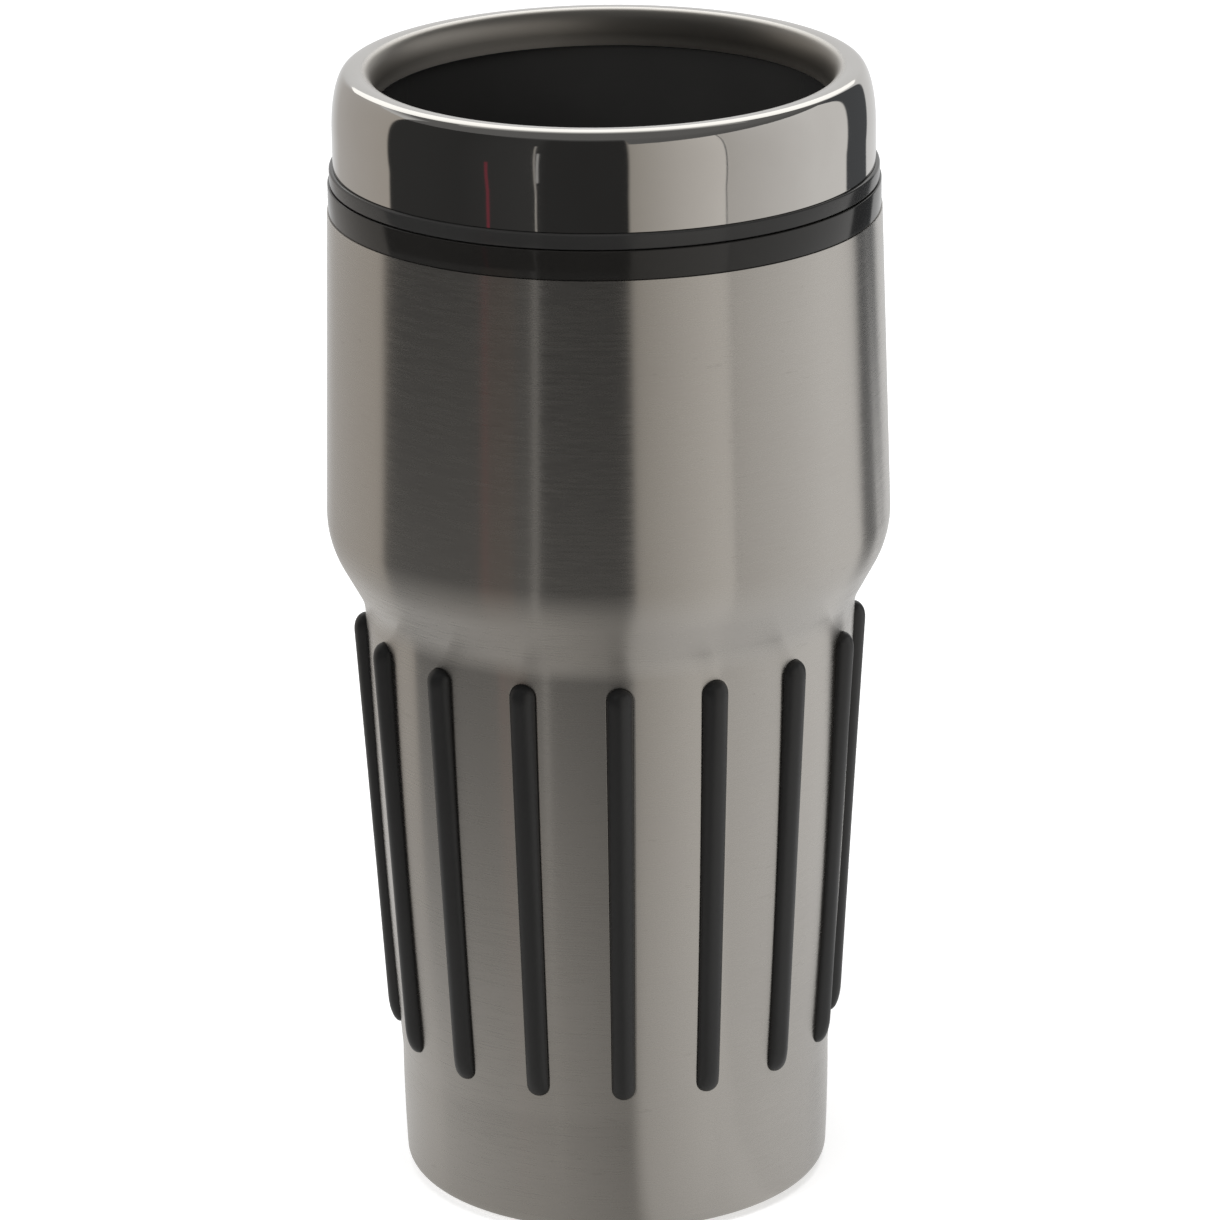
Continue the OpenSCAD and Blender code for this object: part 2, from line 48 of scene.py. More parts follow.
AROUND = 384        # steps round the axis on the pieces that show most
AROUND_LID = 256    # and on the lid and the vessel
AROUND_HIDDEN = 192
RIBS = 16
WELD = 2e-6         # points nearer than this, in metres, become one
SHARP = 35          # faces that meet at more degrees than this keep a sharp edge


def low(node):
    """A node's lowest corner, in millimetres."""
    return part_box(node)[0] / MM


def high(node):
    """A node's highest corner, in millimetres."""
    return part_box(node)[1] / MM


# Heights and radii in millimetres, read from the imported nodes
z_edge = low("outer_shell").z
z_mouth = high("outer_shell").z
z_collar = high("collar").z
z_top = high("trim_ring").z
z_trim = low("trim_ring").z
body_r = high("outer_shell").y
band_r = high("collar").y
flange_r = high("lid_body").y
trim_r = high("trim_ring").y
z_stem = low("slide_gate").z
z_knob = low("slide_knob").z
z_seal, z_seal_top = low("slide_seal").z, high("slide_seal").z
gate_front, gate_back = low("slide_gate").y, high("slide_gate").y
z_keeper = low("slide_keeper").z
z_plug = low("lid_body").z

# Sizes that no node's box gives, and the places that follow from them
foot_r, waist_r = 33.35, 37.55
z_foot, z_waist = z_edge + 19, z_edge + 91.2
shell_wall, sleeve_gap, sleeve_wall = 0.6, 0.15, 1.2
grip_tilt = atan((waist_r - foot_r) / (z_waist - z_foot))
grip_length = (z_waist - z_foot) / cos(grip_tilt)
shoulder_tilt = radians(28.5)
mouth_r = band_r + 0.15
body_tilt = -atan((body_r - mouth_r) / 47.2)
neck_r, plug_r, skirt_in_r, well_r = 38.65, 36.5, 33.9, 33.8
z_seat = z_collar - 0.9                          # the vessel's rim lies here, in the collar
z_shelf = z_trim - 0.1                           # the lid's flange ends a gap below the ring
z_flange = z_shelf - 2.25
seam_closer = 0.1                                # lid and collar each come nearer to the seam
z_floor = z_top - 20.3
z_under = z_floor - 2.0
gasket_high, gasket_groove = 5.9, 6.0
gate_half, gate_wall, knob_high = 9.5, 1.8, 5.0
drink_half_w, drink_half_l = 3.25, 6.5
drink_y = -(well_r - 9.4)                        # the drink hole's middle, near the well's wall


def cone_r(z):
    """The grip's straight taper: its outer radius at a height."""
    return foot_r + (z - z_foot) * tan(grip_tilt)


# ---------------------------------------------------------------- surfaces

def filleted(corners, steps=6):
    """Profile through corners (r, z, fillet radius). Each corner becomes a round arc that is
    tangent to both sides: it starts and ends radius * tan(turn / 2) from the corner, and its
    points lie on the circle about the point where the two inward normals meet. A fillet takes
    at most 0.48 of a side."""
    tiny, most = 1e-3, 0.48
    c = np.asarray(corners, float)
    p, radius = c[:, :2], c[:, 2]
    before, after = np.roll(p, 1, 0) - p, np.roll(p, -1, 0) - p
    la, lb = np.linalg.norm(before, axis=1), np.linalg.norm(after, axis=1)
    u, v = before / la[:, None], after / lb[:, None]
    half = np.arccos(np.clip((u * v).sum(1), -1, 1)) / 2
    safe_half = np.clip(half, tiny, None)
    back = np.minimum(radius / np.tan(safe_half), most * np.minimum(la, lb))
    r = back * np.tan(half)
    middle = u + v
    size = np.linalg.norm(middle, axis=1)
    straight = size < 1e-6
    middle = middle / np.where(straight, 1, size)[:, None]
    centre = p + middle * (r / np.sin(safe_half))[:, None]
    start, end = p + u * back[:, None] - centre, p + v * back[:, None] - centre
    t = np.linspace(0, 1, steps)[None, :, None]
    spread = (pi - 2 * half)[:, None, None]
    safe = np.where(np.sin(spread) < 1e-6, 1, np.sin(spread))
    bent = (np.sin((1 - t) * spread) * start[:, None] + np.sin(t * spread) * end[:, None]) / safe
    points = centre[:, None] + bent
    flat = (radius <= 0) | straight
    return np.concatenate([p[i][None] if flat[i] else points[i] for i in range(len(p))])


def revolved(profile, around=AROUND, turn=0.0):
    """Each profile point (r, z) goes round the axis as (r cos a, r sin a, z)."""
    profile = np.asarray(profile, float)
    a = np.linspace(0, 2 * pi, around, endpoint=False) + turn
    r, z = profile[:, :1], profile[:, 1:]
    return np.stack([r * np.cos(a), r * np.sin(a), z + 0 * a], -1)


def quads(points, wrap_rows=False, wrap_columns=True):
    """Corner points and quads of a grid of rows and columns, whose last may join its first."""
    rows, columns = points.shape[:2]
    index = np.arange(rows * columns).reshape(rows, columns)
    if wrap_rows:
        index = np.vstack([index, index[:1]])
    if wrap_columns:
        index = np.hstack([index, index[:, :1]])
    faces = np.stack([index[:-1, :-1], index[:-1, 1:], index[1:, 1:], index[1:, :-1]], -1)
    return points.reshape(-1, 3), faces.reshape(-1, 4)


def piece(name, grids, finish, body, stands_for, sharp=SHARP):
    """One closed piece from grids of points in millimetres: welded, turned outwards, smooth
    except where faces meet at more than the sharp angle."""
    starts = np.cumsum([0] + [len(points) for points, faces in grids])
    mesh = bpy.data.meshes.new(name)
    mesh.from_pydata((np.concatenate([points for points, faces in grids]) * MM).tolist(), [], [
        face for start, (points, faces) in zip(starts, grids) for face in (faces + start).tolist()])
    bm = bmesh.new()
    bm.from_mesh(mesh)
    bmesh.ops.remove_doubles(bm, verts=bm.verts[:], dist=WELD)
    bmesh.ops.dissolve_degenerate(bm, edges=bm.edges[:], dist=WELD / 20)
    bmesh.ops.recalc_face_normals(bm, faces=bm.faces[:])
    bm.to_mesh(mesh)
    bm.free()
    return dressed(mesh, name, finish, body, stands_for, sharp)


def dressed(mesh, name, finish, body, stands_for, sharp=SHARP):
    """Gives a mesh its smooth faces, its finish and its body, and hides the nodes it stands for."""
    mesh.polygons.foreach_set("use_smooth", np.ones(len(mesh.polygons), bool))
    mesh.set_sharp_from_angle(angle=radians(sharp))
    mesh.materials.clear()
    mesh.materials.append(finish.material)
    thing = bpy.data.objects.new(name, mesh)
    bpy.context.scene.collection.objects.link(thing)
    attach(thing, body)
    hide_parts(*stands_for)
    return thing


def softened(node, name, finish, body, width, segments):
    """A copy of a node's solid with its triangles merged and its sharp edges rounded by a width
    in millimetres."""
    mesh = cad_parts[node].data.copy()
    mesh.name = name
    bm = bmesh.new()
    bm.from_mesh(mesh)
    bmesh.ops.remove_doubles(bm, verts=bm.verts[:], dist=WELD)
    bmesh.ops.dissolve_limit(bm, angle_limit=radians(0.4), verts=bm.verts[:], edges=bm.edges[:])
    bm.to_mesh(mesh)
    bm.free()
    if mesh.has_custom_normals:
        mesh.normals_split_custom_set([(0, 0, 0)] * len(mesh.loops))
    thing = dressed(mesh, name, finish, body, [node])
    bevel = thing.modifiers.new("edges", "BEVEL")
    bevel.width, bevel.segments, bevel.limit_method = width * MM, segments, "ANGLE"
    bevel.angle_limit, bevel.harden_normals = radians(SHARP), True


# ---------------------------------------------------------------- finishes

class Socket:
    """A node's output that can be calculated with: each operator adds one Math node."""

    def __init__(self, finish, output):
        self.finish, self.output = finish, output

    def math(self, operation, a, b):
        """One Math node on two values."""
        return self.finish.node("ShaderNodeMath", {"operation": operation}, {0: a, 1: b})

    def __add__(self, other):
        return self.math("ADD", self, other)

    def __sub__(self, other):
        return self.math("SUBTRACT", self, other)

    def __rsub__(self, other):
        return self.math("SUBTRACT", other, self)

    def __mul__(self, other):
        return self.math("MULTIPLY", self, other)

    def __truediv__(self, other):
        return self.math("DIVIDE", self, other)

    def __pow__(self, other):
        return self.math("POWER", self, other)

    def above(self, other):
        """1 where the value is the greater one, else 0."""
        return self.math("GREATER_THAN", self, other)

    def larger(self, other):
        """The larger of two values."""
        return self.math("MAXIMUM", self, other)

    def unsigned(self):
        """The value without its sign."""
        return self.math("ABSOLUTE", self, 0.0)

    __radd__, __rmul__ = __add__, __mul__


class Finish:
    """A material, or the world, and the one method that adds a node to it."""

    def __init__(self, name, owner=None):
        self.material = owner or bpy.data.materials.new(name)
        self.material.use_nodes = True
        self.tree = self.material.node_tree
        self.tree.nodes.clear()

    def node(self, kind, settings=None, inputs=None, out=0):
        """A node of a kind with its settings, and its inputs as numbers, colours or links. It
        gives back one output, or a list of them where out is a tuple."""
        node = self.tree.nodes.new(kind)
        for key, value in (settings or {}).items():
            if key == "stops":
                stops = node.color_ramp.elements
                for stop, (place, colour) in ((stops[0], value[0]), (stops[1], value[-1])):
                    stop.position, stop.color = place, (*colour, 1)
                for place, colour in value[1:-1]:
                    stops.new(place).color = (*colour, 1)
            else:
                setattr(node, key, value)
        for key, value in (inputs or {}).items():
            if isinstance(value, Socket):
                self.tree.links.new(value.output, node.inputs[key])
            else:
                node.inputs[key].default_value = value
        if isinstance(out, tuple):
            return [Socket(self, node.outputs[key]) for key in out]
        return Socket(self, node.outputs[out]) if len(node.outputs) else None

    def place(self, stretch=(1, 1, 1)):
        """Object coordinates in metres, times a factor along each axis."""
        coordinates = self.node("ShaderNodeTexCoord", out="Object")
        return self.node("ShaderNodeMapping", {"vector_type": "POINT"},
                         {"Vector": coordinates, "Scale": stretch})

    def noise(self, scale=1.0, detail=2.0, stretch=(1, 1, 1), roughness=0.5):
        """A cloud of values round 0.5; a large stretch along an axis makes it fine there."""
        return self.node("ShaderNodeTexNoise", {}, {
            "Vector": self.place(stretch), "Scale": scale, "Detail": detail,
            "Roughness": roughness})

    def split(self, place):
        """The three parts x, y and z of a place."""
        return self.node("ShaderNodeSeparateXYZ", {}, {0: place}, out=(0, 1, 2))

    def tint(self, factor, first, second):
        """A colour between two colours or links, by a factor from 0 to 1."""
        first, second = [c if isinstance(c, Socket) else (*c, 1) for c in (first, second)]
        return self.node("ShaderNodeMix", {"data_type": "RGBA"},
                         {0: factor, 6: first, 7: second}, out=2)

    def bump(self, height, distance, strength):
        """The normal over a surface that rises by a height times a distance in metres."""
        return self.node("ShaderNodeBump", {}, {
            "Height": height, "Distance": distance, "Strength": strength})

    def surface(self, **sockets):
        """The finish's one Principled shader; a socket's spaces are written as underscores."""
        shader = self.node("ShaderNodeBsdfPrincipled", {}, {
            key.replace("_", " "): value for key, value in sockets.items()})
        self.node("ShaderNodeOutputMaterial", {}, {"Surface": shader})
        return self


def grey(value, warm=0.0):
    """A grey, or a warm one with a little more red and less blue."""
    return (value * (1 + warm), value, value * (1 - 1.4 * warm))


def brushed_steel(name, colour, roughness, lines=2600, long=26):
    """Steel brushed round the axis: fine level lines, faint cloudy patches and light scuffs."""
    f = Finish(name)
    line = f.noise(detail=4, stretch=(long, long, lines), roughness=0.65)
    stroke = f.noise(detail=3, stretch=(260, 260, 2300), roughness=0.6)
    cloud = f.noise(38, detail=3)
    scuff = f.noise(detail=6, stretch=(170, 170, 900), roughness=0.7)
    mark = (scuff - 0.66).above(0) * 0.25
    shade = (line - 0.5) * 0.3 + (stroke - 0.5) * 0.5 + (cloud - 0.5) * 0.35 + 0.5 - mark
    tone = f.tint(shade, grey(colour * 0.85, 0.05), grey(colour * 1.15, 0.04))
    return f.surface(
        Base_Color=tone, Metallic=1.0, Anisotropic=1.0, Anisotropic_Rotation=0.25,
        Roughness=(line - 0.5) * 0.09 + (stroke - 0.5) * 0.12 + (cloud - 0.5) * 0.06 + roughness,
        Normal=f.bump(line + stroke, distance=0.00002, strength=0.06))


def polished_steel(name, colour, roughness, satin_inside=None):
    """Buffed steel: a mirror with a slow wave in it, and hairline polishing marks. Inside a radius
    in metres it is left satin from spinning, and there its colour is painted light: painted shade
    darkens it near the top, and a painted reflection makes it paler further down."""
    f = Finish(name)
    wave = f.noise(55, detail=1)
    hair = f.noise(detail=5, stretch=(300, 300, 2200), roughness=0.7)
    haze = f.noise(140, detail=4)
    rough = (haze - 0.5) * 0.05 + (hair - 0.5) * 0.04 + roughness
    tone = f.tint(haze, grey(colour * 0.96, 0.035), grey(colour * 1.04, 0.03))
    if satin_inside:
        x, y, z = f.split(f.place())
        soft_edge = 0.0012
        inside = f.node("ShaderNodeClamp", {}, {
            0: (satin_inside - (x * x + y * y) ** 0.5) / soft_edge})
        rough = rough + inside * 0.40
        # Painted light: the satin inside is darkened near the top as painted shade and made paler
        # further down as a painted reflection.
        depth = ((z_top - 3.6) * MM - z) / soft_edge
        painted_light_down_wall = f.tint(depth, grey(colour * 0.60, 0.06), grey(colour * 1.15, 0.05))
        tone = f.tint(inside, tone, painted_light_down_wall)
    return f.surface(
        Base_Color=tone, Metallic=1.0, Roughness=rough,
        Normal=f.bump(wave * 0.8 + hair * 0.01, distance=0.0006, strength=0.2))


def moulded(name, colour, roughness, grain=900, depth=0.00001, warm=0.0, **more):
    """Moulded plastic or rubber: faint grain, and a finish that varies a little in gloss."""
    f = Finish(name)
    fine = f.noise(grain, detail=3)
    broad = f.noise(60, detail=3)
    return f.surface(
        Base_Color=f.tint(broad, grey(colour * 0.85, warm), grey(colour * 1.15, warm)),
        Roughness=(broad - 0.5) * 0.08 + (fine - 0.5) * 0.06 + roughness,
        Normal=f.bump(fine, depth, strength=0.3), **more)


shell_steel = brushed_steel("shell_brushed_steel", 0.50, roughness=0.26)
ring_steel = polished_steel("ring_polished_steel", 0.55, roughness=0.05, satin_inside=0.0365)
vessel_steel = brushed_steel("vessel_spun_steel", 0.5, roughness=0.3, lines=1400, long=12)
base_steel = brushed_steel("base_steel", 0.42, roughness=0.4)
screw_steel = polished_steel("screw_steel", 0.5, roughness=0.22)
grip_rubber = moulded("grip_rubber", 0.011, roughness=0.42, grain=1500, depth=0.00002)
pad_rubber = moulded("pad_rubber", 0.03, roughness=0.62, grain=1200, depth=0.00003)
puck_rubber = moulded("puck_rubber", 0.30, roughness=0.6)
seal_rubber = moulded("seal_rubber", 0.02, roughness=0.5)
silicone = moulded("gasket_silicone", 0.42, roughness=0.38, grain=700, Subsurface_Weight=0.15)
collar_plastic = moulded("collar_plastic", 0.012, roughness=0.10, grain=400, depth=0.000008,
                         warm=0.06)
lid_plastic = moulded("lid_plastic", 0.025, roughness=0.15, grain=400, depth=0.000008,
                      warm=0.02, Specular_IOR_Level=0.42)
gate_plastic = moulded("gate_plastic", 0.014, roughness=0.28)
knob_plastic = moulded("knob_plastic", 0.022, roughness=0.36, grain=1400, depth=0.00002)
foam = moulded("insulation_foam", 0.72, roughness=0.8, grain=1800, depth=0.00006, warm=0.04)


# ---------------------------------------------------------------- shell

def bent_line(r0, z0, r1, a, b, c, r_low=6.0, r_high=17.0, steps=14):
    """S-shaped wall line: a hollow bend from tilt a to tilt b, a straight slope, and a full
    bend from tilt b to tilt c, all tangent. A bend of radius r turns to tilt t by
    (r (cos a - cos t), r (sin t - sin a))."""
    slope = (r1 - r0 - r_low * (cos(a) - cos(b)) - r_high * (cos(c) - cos(b))) / sin(b)
    t = np.linspace(a, b, steps)
    low_part = np.stack([r0 + r_low * (cos(a) - np.cos(t)), z0 + r_low * (np.sin(t) - sin(a))], 1)
    start = low_part[-1] + slope * np.array([sin(b), cos(b)])
    t = np.linspace(b, c, steps * 2)
    high_part = start - np.stack([r_high * (cos(b) - np.cos(t)), r_high * (np.sin(t) - sin(b))], 1)
    return np.concatenate([low_part, high_part])


def offset_in(line, depth):
    """The line moved in by a depth along its own normals."""
    along = np.gradient(line, axis=0)
    along /= np.linalg.norm(along, axis=1)[:, None]
    return line + depth * np.stack([-along[:, 1], along[:, 0]], 1)


BOW = 0.35                                       # how far the grip bows out at mid height
top_tilt = grip_tilt - 4 * BOW / (z_waist - z_foot)
shoulder = bent_line(waist_r, z_waist, body_r, top_tilt, shoulder_tilt, body_tilt,
                     r_low=9.0, r_high=15.0)
SLOT_LOW, SLOT_HIGH = 3.6, grip_length - 0.8     # a slot's ends along the grip
SLOT_LOW_W, SLOT_HIGH_W = 1.75, 2.0              # half its width at those ends
SLOT_RIM = 0.08                                  # the round on its outer edge
SIDE, ENDS = 44, AROUND // RIBS                  # points on a slot's side, and on an end
rib_angles = [i * 2 * pi / RIBS - pi / 2 for i in range(RIBS)]


def bow(share):
    """How far the grip bows out at a share of its length: 4 BOW s (1 - s)."""
    return 4 * BOW * share * (1 - share)


def grip_r(along):
    """The grip's outer radius at a distance along its wall: it grows by sin(tilt), and bows."""
    return foot_r + along * sin(grip_tilt) + bow(along / grip_length)


def on_grip(across, along, depth, angle):
    """Point on the grip's wall: across is a distance along the wall's own circle, the height
    grows by cos(tilt) along the wall, and depth goes in at a right angle to it."""
    r = grip_r(along)
    a = angle + np.arcsin(across / r)
    r = r - depth * cos(grip_tilt)
    z = z_foot + along * cos(grip_tilt) + depth * sin(grip_tilt)
    return np.stack([r * np.cos(a), r * np.sin(a), z + 0 * a], -1)


def slot_outline(grow):
    """A slot's outline, grown by a distance: two sides that spread upwards and two round ends,
    as (across, along), anticlockwise from the lower right."""
    low_r, high_r = SLOT_LOW_W + grow, SLOT_HIGH_W + grow
    low_c, high_c = SLOT_LOW + SLOT_LOW_W, SLOT_HIGH - SLOT_HIGH_W
    side = np.linspace(0, 1, SIDE, endpoint=False)
    up = np.stack([low_r + (high_r - low_r) * side, low_c + (high_c - low_c) * side], 1)
    t = np.linspace(0, pi, ENDS, endpoint=False)
    top = np.stack([high_r * np.cos(t), high_c + high_r * np.sin(t)], 1)
    bottom = np.stack([-low_r * np.cos(t), low_c - low_r * np.sin(t)], 1)
    down = np.stack([-high_r + (high_r - low_r) * side, high_c + (low_c - high_c) * side], 1)
    return np.concatenate([up, top, down, bottom])


def panel_edge():
    """The edge of one slot's share of the grip, point for point with the slot's outline: share
    of the half pitch across, and distance along."""
    side = np.linspace(0, 1, SIDE, endpoint=False)
    across = np.linspace(1, -1, ENDS, endpoint=False)
    ones = np.ones(SIDE)
    return (np.concatenate([ones, across, -ones, -across]),
            np.concatenate([side * grip_length, np.full(ENDS, grip_length),
                            (1 - side) * grip_length, np.zeros(ENDS)]))


def grip_panel(angle, depth, rows, rim):
    """Grip surface round one slot: rows go straight from the slot's rim to the panel's edge in
    angle and distance along the wall, closer together near the rim."""
    inside = slot_outline(rim)
    share, edge_along = panel_edge()
    a0, a1 = np.arcsin(inside[:, 0] / grip_r(inside[:, 1])), share * pi / RIBS
    t = (np.linspace(0, 1, rows) ** 1.4)[:, None]
    a = a0 + (a1 - a0) * t
    along = inside[:, 1] + (edge_along - inside[:, 1]) * t
    return on_grip(grip_r(along) * np.sin(a), along, depth, angle)


def slot_rim(angle, steps=4):
    """The rolled edge of a slot: a quarter round from the outer face into the slot, then the
    cut wall down to the inner face."""
    t = np.linspace(0, pi / 2, steps)
    grows = np.append(SLOT_RIM * (1 - np.sin(t)), 0.0)
    depths = np.append(SLOT_RIM * (1 - np.cos(t)), shell_wall)
    rings = [slot_outline(g) for g in grows]
    return np.stack([on_grip(o[:, 0], o[:, 1], d, angle) for o, d in zip(rings, depths)])


def make_shell():
    """The slotted shell: a foot that is turned in over a round edge and draws in by a parabola
    from the grip down, the grip's panels and slot rims, and the shoulder and body up to the
    mouth. Each stretch has its inner face one wall behind."""
    edge, draw_in, turned_in = 2.2, 0.4, 2.0
    centre_r, centre_z = foot_r - draw_in - edge, z_edge + edge
    t = np.linspace(-pi / 2, 0, 14)

    def foot_edge(radius):
        """The turned-in stretch and a quarter round of this radius, out to the side."""
        start = [centre_r - turned_in, centre_z - radius]
        return np.concatenate([[start], np.stack([centre_r + radius * np.cos(t),
                                                  centre_z + radius * np.sin(t)], 1)])

    s = np.linspace(0, 1, 12)[1:]
    side = np.stack([foot_r - draw_in * (1 - s) ** 2, centre_z + (z_foot - centre_z) * s], 1)
    foot, foot_in = np.concatenate([foot_edge(edge), side]), foot_edge(edge - shell_wall)
    rise = np.linspace(0, 1, 14)[1:, None]
    upper = np.concatenate([shoulder, shoulder[-1] + rise * ([mouth_r, z_mouth] - shoulder[-1])])
    grip_in = on_grip(np.zeros(2), np.array([0, grip_length]), shell_wall, 0)[:, [0, 2]]
    lower_in = np.concatenate([foot_in, grip_in[:1]])
    upper_in = np.concatenate([grip_in[1:], upper[2::2] - [shell_wall, 0],
                               [[mouth_r - shell_wall, z_mouth]]])
    lines = [foot, upper, lower_in, upper_in, [foot[0], foot_in[0]], [upper[-1], upper_in[-1]]]
    grids = [quads(revolved(line, AROUND, pi / RIBS - pi / 2)) for line in lines]
    for angle in rib_angles:
        grids += [quads(grip_panel(angle, 0.0, 9, SLOT_RIM)),
                  quads(grip_panel(angle, shell_wall, 2, 0.0)), quads(slot_rim(angle))]
    piece("shell_skin", grids, shell_steel, "mug", ["outer_shell"], sharp=40)


def rib_bar(angle, rows=72, columns=25):
    """One rubber rib: along it, the half width and the height swell from nothing over the
    rounded ends; across it, the section is a flattened half round, |x|^1.9 + |y|^1.9 = 1, on
    straight sides that go down into the sleeve."""
    gap, power, foot_lift, root_deep = 0.01, 1.9, 0.05, 0.8
    z0, z1 = SLOT_LOW + gap, SLOT_HIGH - gap
    share = (1 - np.cos(np.linspace(0, pi, rows))) / 2
    along = z0 + (z1 - z0) * share

    def swell(low_reach, high_reach, fullness):
        """1, and near an end at s of a reach from it (1 - (1 - s)^fullness)^0.5."""
        low_end = np.clip((along - z0) / low_reach, 0, 1)
        high_end = np.clip((z1 - along) / high_reach, 0, 1)
        return np.sqrt((1 - (1 - low_end) ** fullness) * (1 - (1 - high_end) ** fullness))

    low_proud, more_proud = 1.60, 0.32
    width = SLOT_LOW_W + (SLOT_HIGH_W - SLOT_LOW_W) * share - gap
    width = width * swell(low_reach=1.6, high_reach=1.85, fullness=2)
    proud = low_proud + more_proud * share - bow(share)
    proud = proud * swell(low_reach=4.6, high_reach=2.8, fullness=2.2)
    t = np.linspace(0, pi, columns)
    x = np.sign(np.cos(t)) * np.abs(np.cos(t)) ** (2 / power)
    y = np.abs(np.sin(t)) ** (2 / power)
    across = width[:, None] * x
    lift = proud[:, None] * y + foot_lift
    root = np.full((rows, 1), -shell_wall - root_deep)
    across = np.concatenate([across[:, :1], across, across[:, -1:]], 1)
    lift = np.concatenate([root, lift, root], 1)
    return on_grip(across, along[:, None] + 0 * across, -lift, angle)


def make_sleeve():
    """The rubber sleeve behind the slots, with a rib through each of them."""
    gap = shell_wall + sleeve_gap
    z0, z1 = low("grip_sleeve").z, high("grip_sleeve").z
    r0, r1, rounded = cone_r(z0) - gap, cone_r(z1) - gap, 0.3
    band = filleted([(r0, z0, rounded), (r1, z1, rounded), (r1 - sleeve_wall, z1, rounded),
                     (r0 - sleeve_wall, z0, rounded)], 4)
    grids = [quads(revolved(band, AROUND_HIDDEN), wrap_rows=True)]
    grids += [quads(rib_bar(angle)) for angle in rib_angles]
    piece("ribbed_grip", grids, grip_rubber, "mug", ["grip_sleeve"], sharp=50)


# ---------------------------------------------------------------- collar and lid

def revolve_piece(name, corners, finish, body, stands_for, around=AROUND_LID, steps=6):
    """A piece turned from one closed profile of corners (r, z, fillet radius)."""
    grid = quads(revolved(filleted(corners, steps), around), wrap_rows=True)
    piece(name, [grid], finish, body, stands_for)


def make_collar():
    """The mouth's collar: a skirt inside the shell, a band over its edge, a seat for the
    vessel's rim and a groove for the round seal."""
    out_r, seat_r, in_r, groove_r = mouth_r - 0.7, 40.25, 38.75, 40.25
    z_skirt, z_band, z_groove = z_mouth - 10, z_mouth + 0.02, z_mouth - 5
    z_rim = z_collar + seam_closer
    groove_half = 0.9
    revolve_piece("mouth_collar", [
        (in_r, z_skirt, 0.5), (out_r, z_skirt, 0.9), (out_r, z_band, 0.05),
        (band_r, z_band, 0.15), (band_r, z_rim, 0.15), (seat_r, z_rim, 0.15),
        (seat_r, z_seat, 0.05), (in_r, z_seat, 0.35), (in_r, z_groove + groove_half, 0.05),
        (groove_r, z_groove + groove_half, 0.2), (groove_r, z_groove - groove_half, 0.2),
        (in_r, z_groove - groove_half, 0.05)], collar_plastic, "mug", ["collar"],
        around=AROUND)


def resampled(line, places):
    """The line's points at places counted in steps of the line."""
    return np.stack([np.interp(places, np.arange(len(line)), line[:, i]) for i in (0, 1)], 1)


def trim_profile():
    """The ring's outer line, thickened inwards: a straight wall, an elliptical shoulder, a low
    crown, and an elliptical lip turned down into the well. The line is smoothed by a moving
    average so that its curve changes slowly, and its points are closest where it bends most."""
    wall, shoulder_w, shoulder_h, crest_w, crown, lip_w, lip_h = 0.6, 2.4, 8.7, 2.5, 0.1, 1.75, 4.3
    lip_end = 5.5
    crest_r = trim_r - shoulder_w
    lip_r = crest_r - crest_w
    z_shoulder, z_lip = z_top - crown - shoulder_h, z_top - crown - lip_h
    t = np.linspace(0, pi / 2, 120)
    out = np.stack([crest_r + shoulder_w * np.cos(t), z_shoulder + shoulder_h * np.sin(t)], 1)
    s = np.linspace(0, 1, 40)[1:-1]
    crest = np.stack([crest_r - crest_w * s, z_top - crown * (2 * s - 1) ** 2], 1)
    lip = np.stack([lip_r - lip_w * np.sin(t), z_lip + lip_h * np.cos(t)], 1)
    line = np.concatenate([[[trim_r, z_trim]], out, crest, lip, [[lip_r - lip_w, z_top - lip_end]]])
    length = np.r_[0, np.cumsum(np.linalg.norm(np.diff(line, axis=0), axis=1))]
    even, reach = np.linspace(0, length[-1], 900), 30
    line = resampled(line, np.interp(even, length, np.arange(len(line))))
    window = np.hanning(2 * reach + 1)
    padded = np.concatenate([2 * line[0] - line[reach:0:-1], line,
                             2 * line[-1] - line[-2:-reach - 2:-1]])
    line = np.stack([np.convolve(padded[:, i], window / window.sum(), "valid") for i in (0, 1)], 1)
    line[:, 1] += z_top - line[:, 1].max()
    line[0, 1], line[:, 0] = z_trim, np.minimum(line[:, 0], trim_r)
    way = np.diff(line, axis=0)
    way /= np.linalg.norm(way, axis=1)[:, None]
    bend = np.arccos(np.clip((way[1:] * way[:-1]).sum(1), -1, 1))
    least, count = 0.0022, 110
    weight = np.r_[0, np.cumsum(np.r_[bend[:1], bend] + least)]
    places = np.interp(np.linspace(0, weight[-1], count), weight, np.arange(len(line)))
    outer = resampled(line, places)
    return np.concatenate([outer, offset_in(outer, wall)[::-1]])


def make_trim():
    """The polished ring that is folded over the lid's wall."""
    grid = quads(revolved(trim_profile(), AROUND), wrap_rows=True)
    piece("trim_ring_polished", [grid], ring_steel, "lid", ["trim_ring"],
          sharp=50)


def stadium(half_width, start, end, grow=0.0, along_x=False, steps=24, shift=0.0):
    """Outline of a plate with round ends, anticlockwise: two half circles of the half width
    grown by a distance, centred that half width in from the start and the end."""
    t = np.linspace(0, pi, steps)
    r = half_width + grow
    tip = np.stack([r * np.cos(t), end - half_width + r * np.sin(t)], 1)
    root = np.stack([-r * np.cos(t), start + half_width - r * np.sin(t)], 1)
    line = np.concatenate([tip, root])
    if along_x:
        line = np.stack([line[:, 1], -line[:, 0]], 1)
    return line + [0, shift]


def round_corners(width, length, corner, grow=0.0, steps=10):
    """Outline of a rectangle with round corners, grown by a distance, anticlockwise."""
    t = np.linspace(0, pi / 2, steps)
    quarter = (corner + grow) * np.stack([np.cos(t), np.sin(t)], 1)
    x, y = width / 2 - corner, length / 2 - corner
    first = quarter + [x, y]
    second = quarter[::-1] * [-1, 1] + [-x, y]
    return np.concatenate([first, second, -first, -second])


